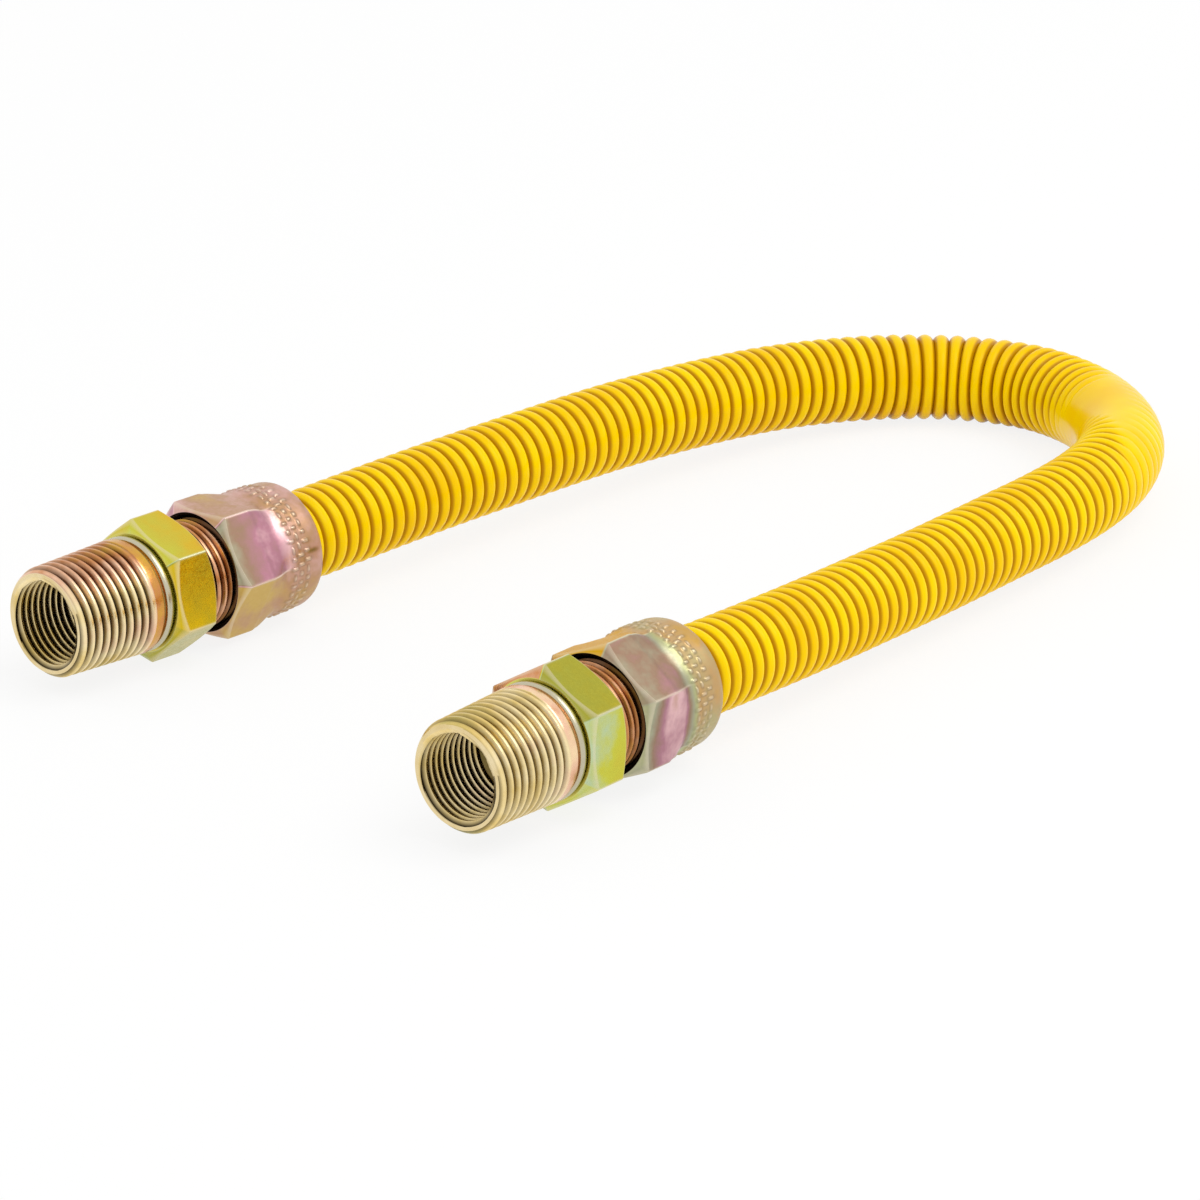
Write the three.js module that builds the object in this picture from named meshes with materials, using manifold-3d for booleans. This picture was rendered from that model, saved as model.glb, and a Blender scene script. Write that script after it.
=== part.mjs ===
// Flexible gas hose: a corrugated steel tube with a yellow coating, bent into a U, with a flare
// nut and a threaded adapter at each end. Millimetres, +Z up, lying on the floor at z = 0.
import * as THREE from 'three';
import { mergeVertices } from 'three/addons/utils/BufferGeometryUtils.js';
import Module from 'manifold-3d';

const wasm = await Module();
wasm.setup();

// Adapter, with stations in mm from its open mouth into the hose
const MOUTH_DIAMETER = 19.8;
const MOUTH_CHAMFER = 0.8;
const PIPE_THREAD_DIAMETER = 20.7;
const PIPE_THREAD_LENGTH = 19.3;
const PIPE_THREAD_PITCH = 25.4 / 14;
const PIPE_THREAD_DEPTH = 1.2;
const PIPE_THREAD_RUNOUT = 1.6;
const PIPE_TAPER = 1 / 16;
const TAPPED_BORE_DIAMETER = 15.2;
const TAPPED_BORE_DEPTH = 14.5;
const BORE_COUNTERSINK = 1.25;
const THROUGH_BORE_DIAMETER = 12.4;
const NECK_DIAMETER = 20.0;
const NECK_WIDTH = 1.0;
const BEAD_DIAMETER = 21.9;
const BEAD_WIDTH = 1.3;
const BEAD_GROOVE_WIDTH = 0.6;
const ADAPTER_HEX_LENGTH = 9.4;
const RELIEF_DIAMETER = 18.8;
const RELIEF_WIDTH = 1.4;
const FLARE_THREAD_DIAMETER = 20.6;
const FLARE_THREAD_LENGTH = 12.7;
const CONE_BASE_DIAMETER = 18.0;
const CONE_NOSE_DIAMETER = 14.0;

// Flare nut
const NUT_GAP = 5.4;
const NUT_HEX_LENGTH = 9.8;
const NUT_HEX_RUNOUT = 2.6;
const NUT_LENGTH = 22.0;
const NUT_MOUTH_DIAMETER = 23.0;
const COLLAR_DIAMETER = 24.2;
const COLLAR_WAIST_DIAMETER = 22.6;
const COLLAR_ROUNDING = 2.0;

// Hexagons of both pieces
const HEX_ACROSS_FLATS = 23.8;
const HEX_FACE_DIAMETER = 22.6;
const HEX_CHAMFER_ANGLE = THREE.MathUtils.degToRad(30);

// Hose
const HOSE_DIAMETER = 17.2;
const RIB_PITCH = 3.15;
const RIB_DEPTH = 1.15;
const HOSE_BORE_DIAMETER = 13.2;
const NECK_TUBE_DIAMETER = 15.8;
const FLARE_DIAMETER = 18.8;
const FLARE_WALL = 0.9;
const PLAIN_END_LENGTH = 9.0;
const HOSE_BORE_STEP = 13.0;

// Gap left between metal faces that meet
const CLEARANCE = 0.3;

// How far each hexagon is turned about its own axis, in degrees from the horizontal
const FRONT_ADAPTER_TURN = 29;
const FRONT_NUT_TURN = 37;
const BACK_ADAPTER_TURN = 20;
const BACK_NUT_TURN = 59;

const ROUND_SEGMENTS = 20;
const HOSE_SEGMENTS = 12;
const ROUTE_SAMPLES = 2000;

const HEX_CORNERS = 6;
const HEX_CORNER_RADIUS = HEX_ACROSS_FLATS / 2 / Math.cos(Math.PI / HEX_CORNERS);
// The round blank that chamfers a hexagon stays clear of its corners between the chamfers
const HEX_BLANK_RADIUS = HEX_CORNER_RADIUS / Math.cos(Math.PI / ROUND_SEGMENTS);

// Stations that follow from the sizes above
const NECK_STATION = PIPE_THREAD_LENGTH;
const BEAD_STATION = NECK_STATION + NECK_WIDTH;
const ADAPTER_HEX_STATION = BEAD_STATION + BEAD_WIDTH + BEAD_GROOVE_WIDTH;
const RELIEF_STATION = ADAPTER_HEX_STATION + ADAPTER_HEX_LENGTH;
const FLARE_THREAD_STATION = RELIEF_STATION + RELIEF_WIDTH;
const CONE_STATION = FLARE_THREAD_STATION + FLARE_THREAD_LENGTH;
const NUT_STATION = RELIEF_STATION + NUT_GAP;

// A 45 degree gap of one clearance, measured along the axis
const CONE_CLEARANCE = CLEARANCE * Math.SQRT2;
const HOSE_STATION = CONE_STATION + CLEARANCE;

// Angles of a hexagon's corners, in radians, with the first at the given turn
function cornerAngles(turn) {
  return Array.from({ length: HEX_CORNERS }, (_, i) => (
    THREE.MathUtils.degToRad(turn) + 2 * Math.PI * i / HEX_CORNERS));
}

// Height of a hexagon's axis over the floor that its lowest corner touches
function restHeight(turn) {
  return HEX_CORNER_RADIUS * Math.max(...cornerAngles(turn).map((angle) => -Math.sin(angle)));
}

const FRONT_HEIGHT = Math.max(restHeight(FRONT_ADAPTER_TURN), restHeight(FRONT_NUT_TURN));
const BACK_HEIGHT = Math.max(restHeight(BACK_ADAPTER_TURN), restHeight(BACK_NUT_TURN));

// The hose's centre line, from the front fitting's flare round the bend to the back one's
const ROUTE = [
  [-76.7, -51.6, FRONT_HEIGHT],
  [-64.4, -51.1, FRONT_HEIGHT],
  [-49.6, -50.6, 13.3],
  [-34.9, -49.9, 12.8],
  [-20.2, -48.7, 12.2],
  [-5.5, -47.4, 11.7],
  [9.2, -46.2, 11.3],
  [23.9, -44.8, 11.0],
  [38.6, -43.5, 10.9],
  [53.3, -42.2, 10.8],
  [67.9, -40.0, 10.8],
  [82.0, -35.7, 10.7],
  [94.7, -28.3, 10.4],
  [104.8, -17.6, 10.0],
  [111.8, -4.7, 9.4],
  [114.3, 9.7, 8.9],
  [109.9, 23.6, 8.7],
  [99.7, 34.1, 9.2],
  [86.6, 40.7, 10.1],
  [72.4, 44.6, 11.1],
  [57.8, 46.8, 11.9],
  [43.1, 48.1, 12.6],
  [28.4, 48.9, 13.1],
  [13.6, 49.4, 13.3],
  [-1.1, 49.8, 13.4],
  [-15.9, 50.1, 13.5],
  [-30.6, 50.2, 13.5],
  [-45.4, 50.1, 13.5],
  [-60.1, 50.1, BACK_HEIGHT],
  [-72.5, 50.6, BACK_HEIGHT],
];

// The tight bend, as shares of the hose's length, pulls the ribs out nearly flat
const BEND_MIDDLE = 0.49;
const BEND_HALF_WIDTH = 0.05;
const BEND_RIB_SHARE = 0.35;

const route = new THREE.CatmullRomCurve3(
  ROUTE.map(([x, y, z]) => new THREE.Vector3(x, y, z)), false, 'catmullrom', 0.5);
route.arcLengthDivisions = ROUTE_SAMPLES;

// A closed profile of [station, radius] points, revolved about the station axis, which becomes X
function turned(profile, segments = ROUND_SEGMENTS) {
  const points = profile.map(([station, radius]) => new THREE.Vector2(radius, station));
  points.push(points[0].clone());
  const geometry = new THREE.LatheGeometry(points, segments);
  geometry.rotateZ(-Math.PI / 2);
  return geometry;
}

// A hexagonal bar along X between two stations, with a corner at the given turn
function hexBar(start, end, turn) {
  const shape = new THREE.Shape(cornerAngles(turn).map((angle) => (
    new THREE.Vector2(HEX_CORNER_RADIUS * Math.cos(angle), HEX_CORNER_RADIUS * Math.sin(angle)))));
  const geometry = new THREE.ExtrudeGeometry(shape, { depth: end - start, bevelEnabled: false });
  // The extrusion's X, Y and Z become Y, Z and X
  geometry.applyMatrix4(new THREE.Matrix4().makeBasis(
    new THREE.Vector3(0, 1, 0), new THREE.Vector3(0, 0, 1), new THREE.Vector3(1, 0, 0)));
  return geometry.translate(start, 0, 0);
}

function weld(geometry) {
  geometry.deleteAttribute('normal');
  geometry.deleteAttribute('uv');
  return mergeVertices(geometry, 1e-4);
}

function solid(geometry) {
  const merged = weld(geometry);
  return new wasm.Manifold(new wasm.Mesh({
    numProp: 3,
    vertProperties: new Float32Array(merged.attributes.position.array),
    triVerts: new Uint32Array(merged.index.array),
  }));
}

function toGeometry(manifold) {
  const mesh = manifold.getMesh();
  const geometry = new THREE.BufferGeometry();
  geometry.setAttribute('position', new THREE.BufferAttribute(mesh.vertProperties, 3));
  geometry.setIndex(new THREE.BufferAttribute(mesh.triVerts, 1));
  return geometry;
}

// The cone that chamfers a hexagon's corners at a face looking away from the bar
function chamferReach() {
  return (HEX_BLANK_RADIUS - HEX_FACE_DIAMETER / 2) * Math.tan(HEX_CHAMFER_ANGLE);
}

// Hexagon with both faces chamfered
function adapterHex(turn) {
  const start = ADAPTER_HEX_STATION;
  const end = start + ADAPTER_HEX_LENGTH;
  const blank = turned([
    [start, 0], [start, HEX_FACE_DIAMETER / 2], [start + chamferReach(), HEX_BLANK_RADIUS],
    [end - chamferReach(), HEX_BLANK_RADIUS], [end, HEX_FACE_DIAMETER / 2], [end, 0],
  ]);
  return solid(hexBar(start, end, turn)).intersect(solid(blank));
}

// Outline of the male pipe thread from the mouth's chamfer to the neck. Its grooves are rings: at
// this pitch the helix leans by less than two degrees.
function pipeThread() {
  const crest = (station) => (PIPE_THREAD_DIAMETER + station * PIPE_TAPER) / 2;
  const threaded = PIPE_THREAD_LENGTH - PIPE_THREAD_RUNOUT - MOUTH_CHAMFER;
  const grooves = Math.floor(threaded / PIPE_THREAD_PITCH);
  const points = [[MOUTH_CHAMFER, crest(MOUTH_CHAMFER)]];
  for (let i = 0; i < grooves; i += 1) {
    const root = MOUTH_CHAMFER + (i + 0.5) * PIPE_THREAD_PITCH;
    const nextCrest = root + PIPE_THREAD_PITCH / 2;
    points.push([root, crest(root) - PIPE_THREAD_DEPTH], [nextCrest, crest(nextCrest)]);
  }
  return [...points, [NECK_STATION, crest(NECK_STATION)]];
}

// Turned outside: tapered pipe thread, neck, bead, relief, flare thread and cone
function adapterBody() {
  const neck = NECK_DIAMETER / 2;
  const bead = BEAD_DIAMETER / 2;
  const flareThread = FLARE_THREAD_DIAMETER / 2;
  const coneBase = CONE_BASE_DIAMETER / 2;
  const coneNose = CONE_NOSE_DIAMETER / 2;
  return solid(turned([
    [0, 0], [0, MOUTH_DIAMETER / 2], ...pipeThread(), [NECK_STATION, neck],
    [BEAD_STATION, neck], [BEAD_STATION, bead],
    [BEAD_STATION + BEAD_WIDTH, bead], [BEAD_STATION + BEAD_WIDTH, neck],
    [RELIEF_STATION, neck], [RELIEF_STATION, RELIEF_DIAMETER / 2],
    [FLARE_THREAD_STATION, RELIEF_DIAMETER / 2], [FLARE_THREAD_STATION, flareThread],
    [CONE_STATION, flareThread], [CONE_STATION, coneBase],
    [CONE_STATION + coneBase - coneNose, coneNose], [CONE_STATION + coneBase - coneNose, 0],
  ]));
}

// Tapped pipe socket at the mouth and the through bore behind it
function adapterBore() {
  const tapped = TAPPED_BORE_DIAMETER / 2;
  const through = THROUGH_BORE_DIAMETER / 2;
  const overrun = 1;
  const end = CONE_STATION + (CONE_BASE_DIAMETER - CONE_NOSE_DIAMETER) / 2 + overrun;
  return solid(turned([
    [-overrun, 0], [-overrun, tapped + BORE_COUNTERSINK + overrun],
    [BORE_COUNTERSINK, tapped],
    [TAPPED_BORE_DEPTH, tapped - TAPPED_BORE_DEPTH * PIPE_TAPER / 2],
    [TAPPED_BORE_DEPTH, through], [end, through], [end, 0],
  ]));
}

function adapterGeometry(turn) {
  return toGeometry(adapterBody().add(adapterHex(turn)).subtract(adapterBore()));
}

// Forged hexagon that runs out into the round collar
function nutGeometry(turn) {
  const start = NUT_STATION;
  const hexEnd = start + NUT_HEX_LENGTH;
  const runoutEnd = hexEnd + NUT_HEX_RUNOUT;
  const end = start + NUT_LENGTH;
  const face = HEX_FACE_DIAMETER / 2;
  const waist = COLLAR_WAIST_DIAMETER / 2;
  const collar = COLLAR_DIAMETER / 2;
  const hexBlank = turned([
    [start, 0], [start, face], [start + chamferReach(), HEX_BLANK_RADIUS],
    [hexEnd, HEX_BLANK_RADIUS], [runoutEnd, waist], [runoutEnd, 0],
  ]);
  const collarProfile = [[start + chamferReach(), 0], [start + chamferReach(), waist],
    [runoutEnd, waist], [runoutEnd + collar - waist, collar]];
  const roundingSteps = 4;
  for (let i = 0; i <= roundingSteps; i += 1) {
    const angle = Math.PI / 2 * i / roundingSteps;
    collarProfile.push([
      end - COLLAR_ROUNDING * (1 - Math.sin(angle)),
      collar - COLLAR_ROUNDING * (1 - Math.cos(angle)),
    ]);
  }
  collarProfile.push([end, 0]);
  return toGeometry(solid(hexBar(start, runoutEnd, turn)).intersect(solid(hexBlank))
    .add(solid(turned(collarProfile))).subtract(nutBore()));
}

// Threaded cavity, the 45 degree seat behind the hose's flare, and the throat the hose passes
function nutBore() {
  const mouth = NUT_MOUTH_DIAMETER / 2;
  const cavity = FLARE_THREAD_DIAMETER / 2 + CLEARANCE;
  const throat = HOSE_DIAMETER / 2 + CLEARANCE;
  const overrun = 1;
  const seat = HOSE_STATION + flareBackStation() + CONE_CLEARANCE - (cavity - FLARE_DIAMETER / 2);
  return solid(turned([
    [NUT_STATION - overrun, 0], [NUT_STATION - overrun, mouth + overrun],
    [NUT_STATION + mouth - cavity, cavity],
    [seat, cavity], [seat + cavity - throat, throat],
    [NUT_STATION + NUT_LENGTH + overrun, throat], [NUT_STATION + NUT_LENGTH + overrun, 0],
  ]));
}

// Station on the hose, from its lip, where the back of the flare leaves the full flare diameter
function flareBackStation() {
  const innerLip = CONE_BASE_DIAMETER / 2;
  return innerLip + FLARE_WALL * Math.SQRT2 - FLARE_DIAMETER / 2;
}

// One flared end of the hose: outer points from the lip to the plain neck
function flareOutside() {
  const back = flareBackStation();
  const drop = (FLARE_DIAMETER - NECK_TUBE_DIAMETER) / 2;
  return [[0, FLARE_DIAMETER / 2], [back, FLARE_DIAMETER / 2], [back + drop, NECK_TUBE_DIAMETER / 2]];
}

// Share of the full rib depth at a place along the hose
function ribShare(place) {
  const distance = Math.abs(place - BEND_MIDDLE) / BEND_HALF_WIDTH;
  return 1 - (1 - BEND_RIB_SHARE) * Math.exp(-distance * distance);
}

// Closed profile of the straight hose: ribs outside, plain bore inside, both ends flared
function hoseProfile(length) {
  const crest = HOSE_DIAMETER / 2;
  const bore = HOSE_BORE_DIAMETER / 2;
  const lip = CONE_BASE_DIAMETER / 2;
  const ribCount = Math.floor((length - 2 * PLAIN_END_LENGTH) / RIB_PITCH);
  const firstRib = (length - ribCount * RIB_PITCH) / 2;
  const mirror = ([station, radius]) => [length - station, radius];
  const outside = flareOutside();
  outside.push([firstRib - RIB_PITCH / 2, NECK_TUBE_DIAMETER / 2]);
  for (let i = 0; i < ribCount; i += 1) {
    const root = firstRib + i * RIB_PITCH;
    outside.push([root, crest - RIB_DEPTH * ribShare(root / length)], [root + RIB_PITCH / 2, crest]);
  }
  outside.push([length - firstRib, crest - RIB_DEPTH], mirror([firstRib - RIB_PITCH / 2, NECK_TUBE_DIAMETER / 2]));
  outside.push(...flareOutside().reverse().map(mirror));
  const inside = [[0, lip], [lip - bore, bore]];
  const boreSteps = Math.round(length / HOSE_BORE_STEP);
  for (let i = 1; i < boreSteps; i += 1) {
    inside.push([length * i / boreSteps, bore]);
  }
  inside.push(mirror([lip - bore, bore]), mirror([0, lip]));
  return [...outside, ...inside.reverse()];
}

// Bends a straight tube along X onto the route, with no twist about it
function bendOntoRoute(geometry, length) {
  const up = new THREE.Vector3(0, 0, 1);
  const position = geometry.attributes.position;
  for (let i = 0; i < position.count; i += 1) {
    const place = THREE.MathUtils.clamp(position.getX(i) / length, 0, 1);
    const centre = route.getPointAt(place);
    const along = route.getTangentAt(place);
    const side = new THREE.Vector3().crossVectors(up, along).normalize();
    const top = new THREE.Vector3().crossVectors(along, side);
    centre.addScaledVector(side, position.getY(i)).addScaledVector(top, position.getZ(i));
    position.setXYZ(i, centre.x, centre.y, centre.z);
  }
  return geometry;
}

function hoseGeometry() {
  const length = route.getLength();
  return bendOntoRoute(weld(turned(hoseProfile(length), HOSE_SEGMENTS)), length);
}

function part(name, geometry, color, roughness, metalness) {
  const mesh = new THREE.Mesh(geometry, new THREE.MeshStandardMaterial({ color, roughness, metalness }));
  mesh.name = name;
  return mesh;
}

// A nut and an adapter at one end of the route, pointing along its first stretch
function fitting(suffix, end, inner, nutTurn, adapterTurn) {
  const group = new THREE.Group();
  group.position.copy(end);
  group.rotation.z = Math.atan2(inner.y - end.y, inner.x - end.x);
  const nut = part(`flare_nut_${suffix}`, nutGeometry(nutTurn), 0xb7a29a, 0.38, 0.9);
  const adapter = part(`adapter_${suffix}`, adapterGeometry(adapterTurn), 0xb3a13c, 0.33, 0.95);
  nut.position.x = -HOSE_STATION;
  adapter.position.x = -HOSE_STATION;
  group.add(nut, adapter);
  return group;
}

const points = route.points;
const group = new THREE.Group();
group.add(part('hose', hoseGeometry(), 0xf2c300, 0.3, 0));
group.add(fitting('front', points[0], points[1], FRONT_NUT_TURN, FRONT_ADAPTER_TURN));
group.add(fitting('back', points.at(-1), points.at(-2), BACK_NUT_TURN, BACK_ADAPTER_TURN));

export default group;
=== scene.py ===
# Flexible gas hose: a yellow-coated corrugated steel tube lying in a U, with a flare nut and a
# threaded adapter on each end. Metres, +Z up, on the floor at z = 0.
import math

import bmesh
import bpy
import numpy as np
from mathutils import Matrix, Vector


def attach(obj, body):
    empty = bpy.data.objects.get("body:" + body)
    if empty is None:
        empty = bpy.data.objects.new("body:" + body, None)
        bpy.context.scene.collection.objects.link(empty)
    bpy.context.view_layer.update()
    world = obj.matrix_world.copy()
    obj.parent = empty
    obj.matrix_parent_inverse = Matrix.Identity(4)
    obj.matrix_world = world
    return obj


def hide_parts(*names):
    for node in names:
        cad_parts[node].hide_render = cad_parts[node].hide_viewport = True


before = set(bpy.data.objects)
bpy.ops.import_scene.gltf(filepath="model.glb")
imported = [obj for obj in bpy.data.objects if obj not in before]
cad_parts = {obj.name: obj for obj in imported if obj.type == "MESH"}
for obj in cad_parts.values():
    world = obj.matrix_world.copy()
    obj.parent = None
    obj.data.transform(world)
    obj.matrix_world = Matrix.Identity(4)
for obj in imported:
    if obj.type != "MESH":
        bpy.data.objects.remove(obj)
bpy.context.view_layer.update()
scene = bpy.context.scene
scene.view_settings.view_transform = "Standard"
MM = 0.001

# Camera: a long lens that looks down on the fittings' open mouths from the front left. Its place,
# heading and lens were fitted to the photograph.
CAMERA_PLACE = (-0.89615, -0.77970, 0.45018)
CAMERA_HEADING = (0.69585, 0.62382, -0.35587)
CAMERA_LENS = 201.43
SENSOR_WIDTH = 36
camera = bpy.data.objects.new("camera", bpy.data.cameras.new("camera"))
scene.collection.objects.link(camera)
camera.data.lens = CAMERA_LENS
camera.data.sensor_width = SENSOR_WIDTH
camera.location = CAMERA_PLACE
camera.rotation_euler = Vector(CAMERA_HEADING).to_track_quat("-Z", "Y").to_euler()
scene.camera = camera

# Hose: thin stainless tube with ribs rolled into it, then dipped in a yellow coating that fills
# the grooves' bottoms. Both ends are flared behind the nuts. It was bent by hand: the tight bend
# has smoothed its ribs on top and inside, and pulled those outside flatter.
ROUTE = [
    (-0.0767, -0.0516, 0.013739),
    (-0.0644, -0.0511, 0.013739),
    (-0.0496, -0.0506, 0.0133),
    (-0.0349, -0.0499, 0.0128),
    (-0.0202, -0.0487, 0.0122),
    (-0.0055, -0.0474, 0.0117),
    (0.0092, -0.0462, 0.0113),
    (0.0239, -0.0448, 0.0110),
    (0.0386, -0.0435, 0.0109),
    (0.0533, -0.0422, 0.0108),
    (0.0679, -0.0400, 0.0108),
    (0.0820, -0.0357, 0.0107),
    (0.0947, -0.0283, 0.0104),
    (0.1048, -0.0176, 0.0100),
    (0.1118, -0.0047, 0.0094),
    (0.1143, 0.0097, 0.0089),
    (0.1099, 0.0236, 0.0087),
    (0.0997, 0.0341, 0.0092),
    (0.0866, 0.0407, 0.0101),
    (0.0724, 0.0446, 0.0111),
    (0.0578, 0.0468, 0.0119),
    (0.0431, 0.0481, 0.0126),
    (0.0284, 0.0489, 0.0131),
    (0.0136, 0.0494, 0.0133),
    (-0.0011, 0.0498, 0.0134),
    (-0.0159, 0.0501, 0.0135),
    (-0.0306, 0.0502, 0.0135),
    (-0.0454, 0.0501, 0.0135),
    (-0.0601, 0.0501, 0.013532),
    (-0.0725, 0.0506, 0.013532),
]
HOSE_RADIUS = 8.6 * MM
HOSE_BORE_RADIUS = 6.6 * MM
RIB_PITCH = 3.15 * MM
RIB_DEPTH = 1.25 * MM
# Below 1, crests are fuller than a sine's and the grooves between them narrower
RIB_FULLNESS = 0.6
# Rings that draw one rib, as shares of the pitch, closest together in the grooves
RIB_RINGS = (0, 0.03, 0.07, 0.13, 0.22, 0.35, 0.5, 0.65, 0.78, 0.87, 0.93, 0.97)
# The ribs next to each nut are shallower by this share, over about this length
SHALLOWER_AT_NUT = 0.45
SHALLOWER_OVER = 2 * RIB_PITCH
NECK_TUBE_RADIUS = 7.9 * MM
FLARE_RADIUS = 9.4 * MM
FLARE_LIP_RADIUS = 9.0 * MM
FLARE_LAND = 0.87 * MM
PLAIN_END = 9.0 * MM
# The smooth patch in the bend, in shares of the hose's length: where it starts on the inside of
# the bend and on top, where it ends, how much later it ends farther round, and how it fades
SMOOTH_START_INSIDE = 0.413
SMOOTH_START_TOP = 0.379
SMOOTH_END = 0.447
SMOOTH_END_LATER = 0.03
SMOOTH_FADE_IN = 0.016
SMOOTH_FADE_OUT = 0.03
# Angles from the inside of the bend over the top: where the patch ends first, where it is smoothest
SMOOTH_ENDS_FIRST = math.radians(50)
SMOOTHEST = math.radians(45)
# How smooth the patch is on the average round the hose, and how much that varies
SMOOTHNESS = 0.75
SMOOTHNESS_VARIES = 0.42
# The stretch outside the bend, in shares of the hose's length, and the share of the ribs it takes
STRETCHED_MIDDLE = 0.42
STRETCHED_HALF_WIDTH = 0.05
STRETCHED_FLATTER = 0.55
HOSE_COLUMNS = 56
BORE_STEP = 3 * MM
# Points closer than the first are one point, and edges shorter than the second are closed up
WELD_GAP = 0.002 * MM
SHORTEST_EDGE = 0.0005 * MM
COATING_YELLOWS = ("#FACA00", "#FFD900")
# Deeper amber in the grooves: the thicker yellow there, with painted shade
COATING_SHADED_IN_GROOVES = "#C89200"


def centre_line(samples=200):
    """Points of the Catmull-Rom curve through ROUTE and their distances along it."""
    knots = np.array(ROUTE)
    knots = np.vstack([2 * knots[0] - knots[1], knots, 2 * knots[-1] - knots[-2]])
    points = []
    for a, b, c, d in zip(knots, knots[1:], knots[2:], knots[3:]):
        t = np.linspace(0, 1, samples, endpoint=False)[:, None]
        points.append(b + (c - a) / 2 * t + (a - 2.5 * b + 2 * c - d / 2) * t**2
                      + (1.5 * (b - c) + (d - a) / 2) * t**3)
    points = np.vstack([*points, knots[-2]])
    steps = np.linalg.norm(np.diff(points, axis=0), axis=1)
    return points, np.concatenate([[0], np.cumsum(steps)])


line, line_distance = centre_line()
line_tangent = np.gradient(line, line_distance, axis=0)
HOSE_LENGTH = line_distance[-1]


def on_line(values, distances):
    """Values given along the centre line, looked up at the distances."""
    return np.stack([np.interp(distances, line_distance, values[:, k]) for k in range(3)], axis=1)


def hose_rings(distances, radii, angles):
    """Rings round the centre line, one for each distance. radii is (rings, columns)."""
    along = on_line(line_tangent, distances)
    side = np.cross((0, 0, 1), along)
    side /= np.linalg.norm(side, axis=1)[:, None]
    top = np.cross(along, side)
    centre = on_line(line, distances)
    offsets = side[:, None] * np.cos(angles)[:, None] + top[:, None] * np.sin(angles)[:, None]
    radii = np.broadcast_to(radii, (len(distances), len(angles)))
    return centre[:, None] + offsets * radii[..., None]


def skinned(name, surfaces, sharp_angle=40):
    """A closed piece from grids of points that meet edge to edge. Each surface is (points, values),
    where values holds the point attributes by name, as arrays of the grid's shape. Where two
    surfaces meet, the larger value holds."""
    mesh = bmesh.new()
    layers = {key: mesh.verts.layers.float.new(key) for key in surfaces[0][1]}
    for points, values in surfaces:
        rows, columns = points.shape[:2]
        verts = [mesh.verts.new(point) for point in points.reshape(-1, 3)]
        for key, layer in layers.items():
            for vert, value in zip(verts, np.broadcast_to(values[key], (rows, columns)).reshape(-1)):
                vert[layer] = value
        for i in range(rows - 1):
            for j in range(columns - 1):
                corner = i * columns + j
                mesh.faces.new([verts[corner], verts[corner + 1],
                                verts[corner + columns + 1], verts[corner + columns]])
    same = bmesh.ops.find_doubles(mesh, verts=mesh.verts, dist=WELD_GAP)["targetmap"]
    for vert, kept in same.items():
        for layer in layers.values():
            kept[layer] = max(kept[layer], vert[layer])
    bmesh.ops.weld_verts(mesh, targetmap=same)
    bmesh.ops.dissolve_degenerate(mesh, edges=mesh.edges, dist=SHORTEST_EDGE)
    bmesh.ops.recalc_face_normals(mesh, faces=mesh.faces)
    data = bpy.data.meshes.new(name)
    mesh.to_mesh(data)
    mesh.free()
    data.polygons.foreach_set("use_smooth", [True] * len(data.polygons))
    data.set_sharp_from_angle(angle=math.radians(sharp_angle))
    piece = bpy.data.objects.new(name, data)
    scene.collection.objects.link(piece)
    return piece


def share_past(places, start, length):
    """How far each place is past the start, as a share of the length: 0 before it, 1 beyond it."""
    return np.clip((places - start) / length, 0, 1)


def rib_stations():
    """Distance of the first groove, and of the rings that draw all the ribs from it on."""
    count = int((HOSE_LENGTH - 2 * PLAIN_END) / RIB_PITCH)
    first = (HOSE_LENGTH - count * RIB_PITCH) / 2
    return first, first + (np.arange(count)[:, None] + np.array(RIB_RINGS)).reshape(-1) * RIB_PITCH


def rib_groove(distances, angles, first):
    """Depth of the groove between ribs as a share of the full depth, (rings, columns). Angle 0 is
    the inside of the bend, a right angle its top."""
    crest = np.abs(np.sin(np.pi * (distances - first) / RIB_PITCH)) ** RIB_FULLNESS
    from_nut = np.minimum(distances, HOSE_LENGTH - distances) - PLAIN_END
    depth = (1 - crest) * (1 - SHALLOWER_AT_NUT * np.exp(-from_nut / SHALLOWER_OVER))
    share = (distances / HOSE_LENGTH)[:, None]
    start = SMOOTH_START_INSIDE + (SMOOTH_START_TOP - SMOOTH_START_INSIDE) * (1 - np.cos(angles))
    end = SMOOTH_END + SMOOTH_END_LATER * (1 - np.cos(angles - SMOOTH_ENDS_FIRST))
    smooth = (share_past(share, start - SMOOTH_FADE_IN / 2, SMOOTH_FADE_IN)
              * (1 - share_past(share, end, SMOOTH_FADE_OUT))
              * np.clip(SMOOTHNESS + SMOOTHNESS_VARIES * np.cos(angles - SMOOTHEST), 0, 1))
    stretched = np.clip(-np.cos(angles), 0, 1) * np.exp(
        -((share - STRETCHED_MIDDLE) / STRETCHED_HALF_WIDTH) ** 2)
    return depth[:, None] * (1 - smooth) * (1 - STRETCHED_FLATTER * stretched)


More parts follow.
